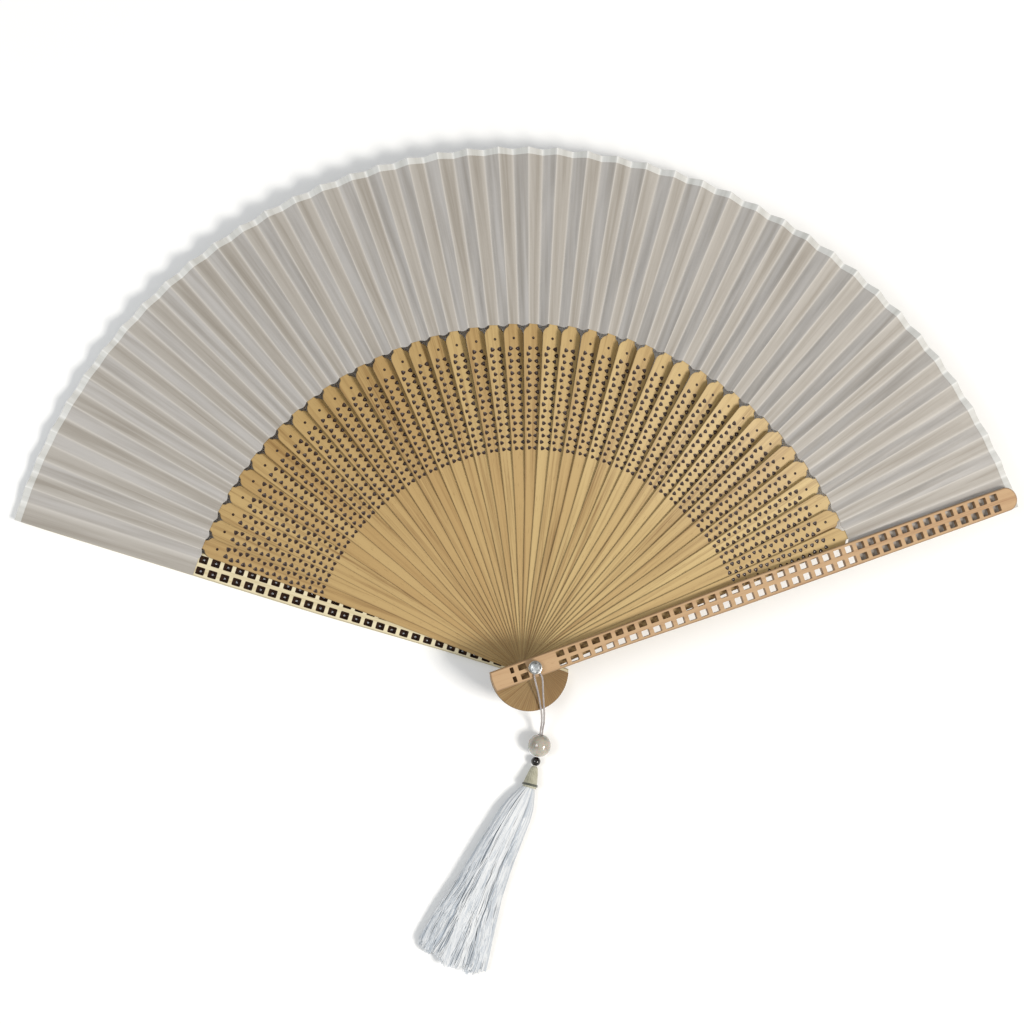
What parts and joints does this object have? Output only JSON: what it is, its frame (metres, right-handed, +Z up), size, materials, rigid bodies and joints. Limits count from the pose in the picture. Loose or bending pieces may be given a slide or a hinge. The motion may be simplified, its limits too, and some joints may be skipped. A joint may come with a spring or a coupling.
{
  "type": "folding fan",
  "caption": "Open folding hand fan with pierced wooden sticks and guards, a pleated sheer silk leaf and a beaded silk tassel on its rivet.",
  "frame": {"origin": "on the rivet's axis, at the flush underside of the rivet's back head and the back guard", "axes": "+Z up out of the open fan's face, along the rivet towards the crystal; +Y through the middle of the open leaf; +X towards the front guard's side"},
  "size_m": [0.3738, 0.3098, 0.0293],
  "materials": {
    "back_guard_wood": "satin",
    "front_guard_wood": "satin",
    "stick_wood": "satin",
    "leaf_silk": "sheer",
    "edging_silk": "satin",
    "rivet_metal": "polished",
    "crystal_glass": "faceted",
    "cord_silk": "satin",
    "bead_stone": "polished",
    "spacer_gloss": "gloss",
    "cap_silk": "matte",
    "binding_thread": "matte",
    "skirt_silk": "satin"
  },
  "bodies": {
    "back_guard": {"back_guard": "back_guard_wood", "rivet_back_head": "rivet_metal", "rivet_pin": "rivet_metal", "rivet_bezel": "rivet_metal", "rivet_crystal": "crystal_glass", "silk_leaf": "leaf_silk", "leaf_edging": "edging_silk"},
    "stick_01": {"stick_01": "stick_wood"},
    "stick_02": {"stick_02": "stick_wood"},
    "stick_03": {"stick_03": "stick_wood"},
    "stick_04": {"stick_04": "stick_wood"},
    "stick_05": {"stick_05": "stick_wood"},
    "stick_06": {"stick_06": "stick_wood"},
    "stick_07": {"stick_07": "stick_wood"},
    "stick_08": {"stick_08": "stick_wood"},
    "stick_09": {"stick_09": "stick_wood"},
    "stick_10": {"stick_10": "stick_wood"},
    "stick_11": {"stick_11": "stick_wood"},
    "stick_12": {"stick_12": "stick_wood"},
    "stick_13": {"stick_13": "stick_wood"},
    "stick_14": {"stick_14": "stick_wood"},
    "stick_15": {"stick_15": "stick_wood"},
    "stick_16": {"stick_16": "stick_wood"},
    "stick_17": {"stick_17": "stick_wood"},
    "stick_18": {"stick_18": "stick_wood"},
    "stick_19": {"stick_19": "stick_wood"},
    "stick_20": {"stick_20": "stick_wood"},
    "stick_21": {"stick_21": "stick_wood"},
    "stick_22": {"stick_22": "stick_wood"},
    "stick_23": {"stick_23": "stick_wood"},
    "stick_24": {"stick_24": "stick_wood"},
    "stick_25": {"stick_25": "stick_wood"},
    "stick_26": {"stick_26": "stick_wood"},
    "stick_27": {"stick_27": "stick_wood"},
    "stick_28": {"stick_28": "stick_wood"},
    "stick_29": {"stick_29": "stick_wood"},
    "stick_30": {"stick_30": "stick_wood"},
    "stick_31": {"stick_31": "stick_wood"},
    "stick_32": {"stick_32": "stick_wood"},
    "stick_33": {"stick_33": "stick_wood"},
    "stick_34": {"stick_34": "stick_wood"},
    "stick_35": {"stick_35": "stick_wood"},
    "stick_36": {"stick_36": "stick_wood"},
    "stick_37": {"stick_37": "stick_wood"},
    "stick_38": {"stick_38": "stick_wood"},
    "stick_39": {"stick_39": "stick_wood"},
    "stick_40": {"stick_40": "stick_wood"},
    "stick_41": {"stick_41": "stick_wood"},
    "stick_42": {"stick_42": "stick_wood"},
    "front_guard": {"front_guard": "front_guard_wood"},
    "tassel": {"tassel_cord_left": "cord_silk", "tassel_cord_right": "cord_silk", "stone_bead": "bead_stone", "spacer_bead": "spacer_gloss", "tassel_cap": "cap_silk", "tassel_binding": "binding_thread", "tassel_skirt": "skirt_silk"}
  },
  "joints": [
    {"name": "fold", "type": "hinge", "parent": "back_guard", "child": "stick_01", "pos_m": [0, 0, 0], "axis": [0, 0, 1], "range_deg": [0, 3.34], "deforming": ["silk_leaf", "leaf_edging", "tassel_cord_left", "tassel_cord_right"]},
    {"name": "fold_02", "type": "hinge", "parent": "stick_01", "child": "stick_02", "pos_m": [0, 0, 0], "axis": [0, 0, 1], "range_deg": [0, 3.34]},
    {"name": "fold_03", "type": "hinge", "parent": "stick_02", "child": "stick_03", "pos_m": [0, 0, 0], "axis": [0, 0, 1], "range_deg": [0, 3.34]},
    {"name": "fold_04", "type": "hinge", "parent": "stick_03", "child": "stick_04", "pos_m": [0, 0, 0], "axis": [0, 0, 1], "range_deg": [0, 3.34]},
    {"name": "fold_05", "type": "hinge", "parent": "stick_04", "child": "stick_05", "pos_m": [0, 0, 0], "axis": [0, 0, 1], "range_deg": [0, 3.34]},
    {"name": "fold_06", "type": "hinge", "parent": "stick_05", "child": "stick_06", "pos_m": [0, 0, 0], "axis": [0, 0, 1], "range_deg": [0, 3.34]},
    {"name": "fold_07", "type": "hinge", "parent": "stick_06", "child": "stick_07", "pos_m": [0, 0, 0], "axis": [0, 0, 1], "range_deg": [0, 3.34]},
    {"name": "fold_08", "type": "hinge", "parent": "stick_07", "child": "stick_08", "pos_m": [0, 0, 0], "axis": [0, 0, 1], "range_deg": [0, 3.34]},
    {"name": "fold_09", "type": "hinge", "parent": "stick_08", "child": "stick_09", "pos_m": [0, 0, 0], "axis": [0, 0, 1], "range_deg": [0, 3.34]},
    {"name": "fold_10", "type": "hinge", "parent": "stick_09", "child": "stick_10", "pos_m": [0, 0, 0], "axis": [0, 0, 1], "range_deg": [0, 3.34]},
    {"name": "fold_11", "type": "hinge", "parent": "stick_10", "child": "stick_11", "pos_m": [0, 0, 0], "axis": [0, 0, 1], "range_deg": [0, 3.34]},
    {"name": "fold_12", "type": "hinge", "parent": "stick_11", "child": "stick_12", "pos_m": [0, 0, 0], "axis": [0, 0, 1], "range_deg": [0, 3.34]},
    {"name": "fold_13", "type": "hinge", "parent": "stick_12", "child": "stick_13", "pos_m": [0, 0, 0], "axis": [0, 0, 1], "range_deg": [0, 3.34]},
    {"name": "fold_14", "type": "hinge", "parent": "stick_13", "child": "stick_14", "pos_m": [0, 0, 0], "axis": [0, 0, 1], "range_deg": [0, 3.34]},
    {"name": "fold_15", "type": "hinge", "parent": "stick_14", "child": "stick_15", "pos_m": [0, 0, 0], "axis": [0, 0, 1], "range_deg": [0, 3.34]},
    {"name": "fold_16", "type": "hinge", "parent": "stick_15", "child": "stick_16", "pos_m": [0, 0, 0], "axis": [0, 0, 1], "range_deg": [0, 3.34]},
    {"name": "fold_17", "type": "hinge", "parent": "stick_16", "child": "stick_17", "pos_m": [0, 0, 0], "axis": [0, 0, 1], "range_deg": [0, 3.34]},
    {"name": "fold_18", "type": "hinge", "parent": "stick_17", "child": "stick_18", "pos_m": [0, 0, 0], "axis": [0, 0, 1], "range_deg": [0, 3.34]},
    {"name": "fold_19", "type": "hinge", "parent": "stick_18", "child": "stick_19", "pos_m": [0, 0, 0], "axis": [0, 0, 1], "range_deg": [0, 3.34]},
    {"name": "fold_20", "type": "hinge", "parent": "stick_19", "child": "stick_20", "pos_m": [0, 0, 0], "axis": [0, 0, 1], "range_deg": [0, 3.34]},
    {"name": "fold_21", "type": "hinge", "parent": "stick_20", "child": "stick_21", "pos_m": [0, 0, 0], "axis": [0, 0, 1], "range_deg": [0, 3.34]},
    {"name": "fold_22", "type": "hinge", "parent": "stick_21", "child": "stick_22", "pos_m": [0, 0, 0], "axis": [0, 0, 1], "range_deg": [0, 3.34]},
    {"name": "fold_23", "type": "hinge", "parent": "stick_22", "child": "stick_23", "pos_m": [0, 0, 0], "axis": [0, 0, 1], "range_deg": [0, 3.34]},
    {"name": "fold_24", "type": "hinge", "parent": "stick_23", "child": "stick_24", "pos_m": [0, 0, 0], "axis": [0, 0, 1], "range_deg": [0, 3.34]},
    {"name": "fold_25", "type": "hinge", "parent": "stick_24", "child": "stick_25", "pos_m": [0, 0, 0], "axis": [0, 0, 1], "range_deg": [0, 3.34]},
    {"name": "fold_26", "type": "hinge", "parent": "stick_25", "child": "stick_26", "pos_m": [0, 0, 0], "axis": [0, 0, 1], "range_deg": [0, 3.34]},
    {"name": "fold_27", "type": "hinge", "parent": "stick_26", "child": "stick_27", "pos_m": [0, 0, 0], "axis": [0, 0, 1], "range_deg": [0, 3.34]},
    {"name": "fold_28", "type": "hinge", "parent": "stick_27", "child": "stick_28", "pos_m": [0, 0, 0], "axis": [0, 0, 1], "range_deg": [0, 3.34]},
    {"name": "fold_29", "type": "hinge", "parent": "stick_28", "child": "stick_29", "pos_m": [0, 0, 0], "axis": [0, 0, 1], "range_deg": [0, 3.34]},
    {"name": "fold_30", "type": "hinge", "parent": "stick_29", "child": "stick_30", "pos_m": [0, 0, 0], "axis": [0, 0, 1], "range_deg": [0, 3.34]},
    {"name": "fold_31", "type": "hinge", "parent": "stick_30", "child": "stick_31", "pos_m": [0, 0, 0], "axis": [0, 0, 1], "range_deg": [0, 3.34]},
    {"name": "fold_32", "type": "hinge", "parent": "stick_31", "child": "stick_32", "pos_m": [0, 0, 0], "axis": [0, 0, 1], "range_deg": [0, 3.34]},
    {"name": "fold_33", "type": "hinge", "parent": "stick_32", "child": "stick_33", "pos_m": [0, 0, 0], "axis": [0, 0, 1], "range_deg": [0, 3.34]},
    {"name": "fold_34", "type": "hinge", "parent": "stick_33", "child": "stick_34", "pos_m": [0, 0, 0], "axis": [0, 0, 1], "range_deg": [0, 3.34]},
    {"name": "fold_35", "type": "hinge", "parent": "stick_34", "child": "stick_35", "pos_m": [0, 0, 0], "axis": [0, 0, 1], "range_deg": [0, 3.34]},
    {"name": "fold_36", "type": "hinge", "parent": "stick_35", "child": "stick_36", "pos_m": [0, 0, 0], "axis": [0, 0, 1], "range_deg": [0, 3.34]},
    {"name": "fold_37", "type": "hinge", "parent": "stick_36", "child": "stick_37", "pos_m": [0, 0, 0], "axis": [0, 0, 1], "range_deg": [0, 3.34]},
    {"name": "fold_38", "type": "hinge", "parent": "stick_37", "child": "stick_38", "pos_m": [0, 0, 0], "axis": [0, 0, 1], "range_deg": [0, 3.34]},
    {"name": "fold_39", "type": "hinge", "parent": "stick_38", "child": "stick_39", "pos_m": [0, 0, 0], "axis": [0, 0, 1], "range_deg": [0, 3.34]},
    {"name": "fold_40", "type": "hinge", "parent": "stick_39", "child": "stick_40", "pos_m": [0, 0, 0], "axis": [0, 0, 1], "range_deg": [0, 3.34]},
    {"name": "fold_41", "type": "hinge", "parent": "stick_40", "child": "stick_41", "pos_m": [0, 0, 0], "axis": [0, 0, 1], "range_deg": [0, 3.34]},
    {"name": "fold_42", "type": "hinge", "parent": "stick_41", "child": "stick_42", "pos_m": [0, 0, 0], "axis": [0, 0, 1], "range_deg": [0, 3.34]},
    {"name": "fold_43", "type": "hinge", "parent": "stick_42", "child": "front_guard", "pos_m": [0, 0, 0], "axis": [0, 0, 1], "range_deg": [0, 3.34]},
    {"name": "tassel_swing", "type": "hinge", "parent": "back_guard", "child": "tassel", "pos_m": [0, 0, 0], "axis": [0, 0, 1], "range_deg": [-35, 35]}
  ],
  "couplings": [
    {"joint": "fold_02", "follows": "fold", "ratio": 1},
    {"joint": "fold_03", "follows": "fold", "ratio": 1},
    {"joint": "fold_04", "follows": "fold", "ratio": 1},
    {"joint": "fold_05", "follows": "fold", "ratio": 1},
    {"joint": "fold_06", "follows": "fold", "ratio": 1},
    {"joint": "fold_07", "follows": "fold", "ratio": 1},
    {"joint": "fold_08", "follows": "fold", "ratio": 1},
    {"joint": "fold_09", "follows": "fold", "ratio": 1},
    {"joint": "fold_10", "follows": "fold", "ratio": 1},
    {"joint": "fold_11", "follows": "fold", "ratio": 1},
    {"joint": "fold_12", "follows": "fold", "ratio": 1},
    {"joint": "fold_13", "follows": "fold", "ratio": 1},
    {"joint": "fold_14", "follows": "fold", "ratio": 1},
    {"joint": "fold_15", "follows": "fold", "ratio": 1},
    {"joint": "fold_16", "follows": "fold", "ratio": 1},
    {"joint": "fold_17", "follows": "fold", "ratio": 1},
    {"joint": "fold_18", "follows": "fold", "ratio": 1},
    {"joint": "fold_19", "follows": "fold", "ratio": 1},
    {"joint": "fold_20", "follows": "fold", "ratio": 1},
    {"joint": "fold_21", "follows": "fold", "ratio": 1},
    {"joint": "fold_22", "follows": "fold", "ratio": 1},
    {"joint": "fold_23", "follows": "fold", "ratio": 1},
    {"joint": "fold_24", "follows": "fold", "ratio": 1},
    {"joint": "fold_25", "follows": "fold", "ratio": 1},
    {"joint": "fold_26", "follows": "fold", "ratio": 1},
    {"joint": "fold_27", "follows": "fold", "ratio": 1},
    {"joint": "fold_28", "follows": "fold", "ratio": 1},
    {"joint": "fold_29", "follows": "fold", "ratio": 1},
    {"joint": "fold_30", "follows": "fold", "ratio": 1},
    {"joint": "fold_31", "follows": "fold", "ratio": 1},
    {"joint": "fold_32", "follows": "fold", "ratio": 1},
    {"joint": "fold_33", "follows": "fold", "ratio": 1},
    {"joint": "fold_34", "follows": "fold", "ratio": 1},
    {"joint": "fold_35", "follows": "fold", "ratio": 1},
    {"joint": "fold_36", "follows": "fold", "ratio": 1},
    {"joint": "fold_37", "follows": "fold", "ratio": 1},
    {"joint": "fold_38", "follows": "fold", "ratio": 1},
    {"joint": "fold_39", "follows": "fold", "ratio": 1},
    {"joint": "fold_40", "follows": "fold", "ratio": 1},
    {"joint": "fold_41", "follows": "fold", "ratio": 1},
    {"joint": "fold_42", "follows": "fold", "ratio": 1},
    {"joint": "fold_43", "follows": "fold", "ratio": 1}
  ]
}
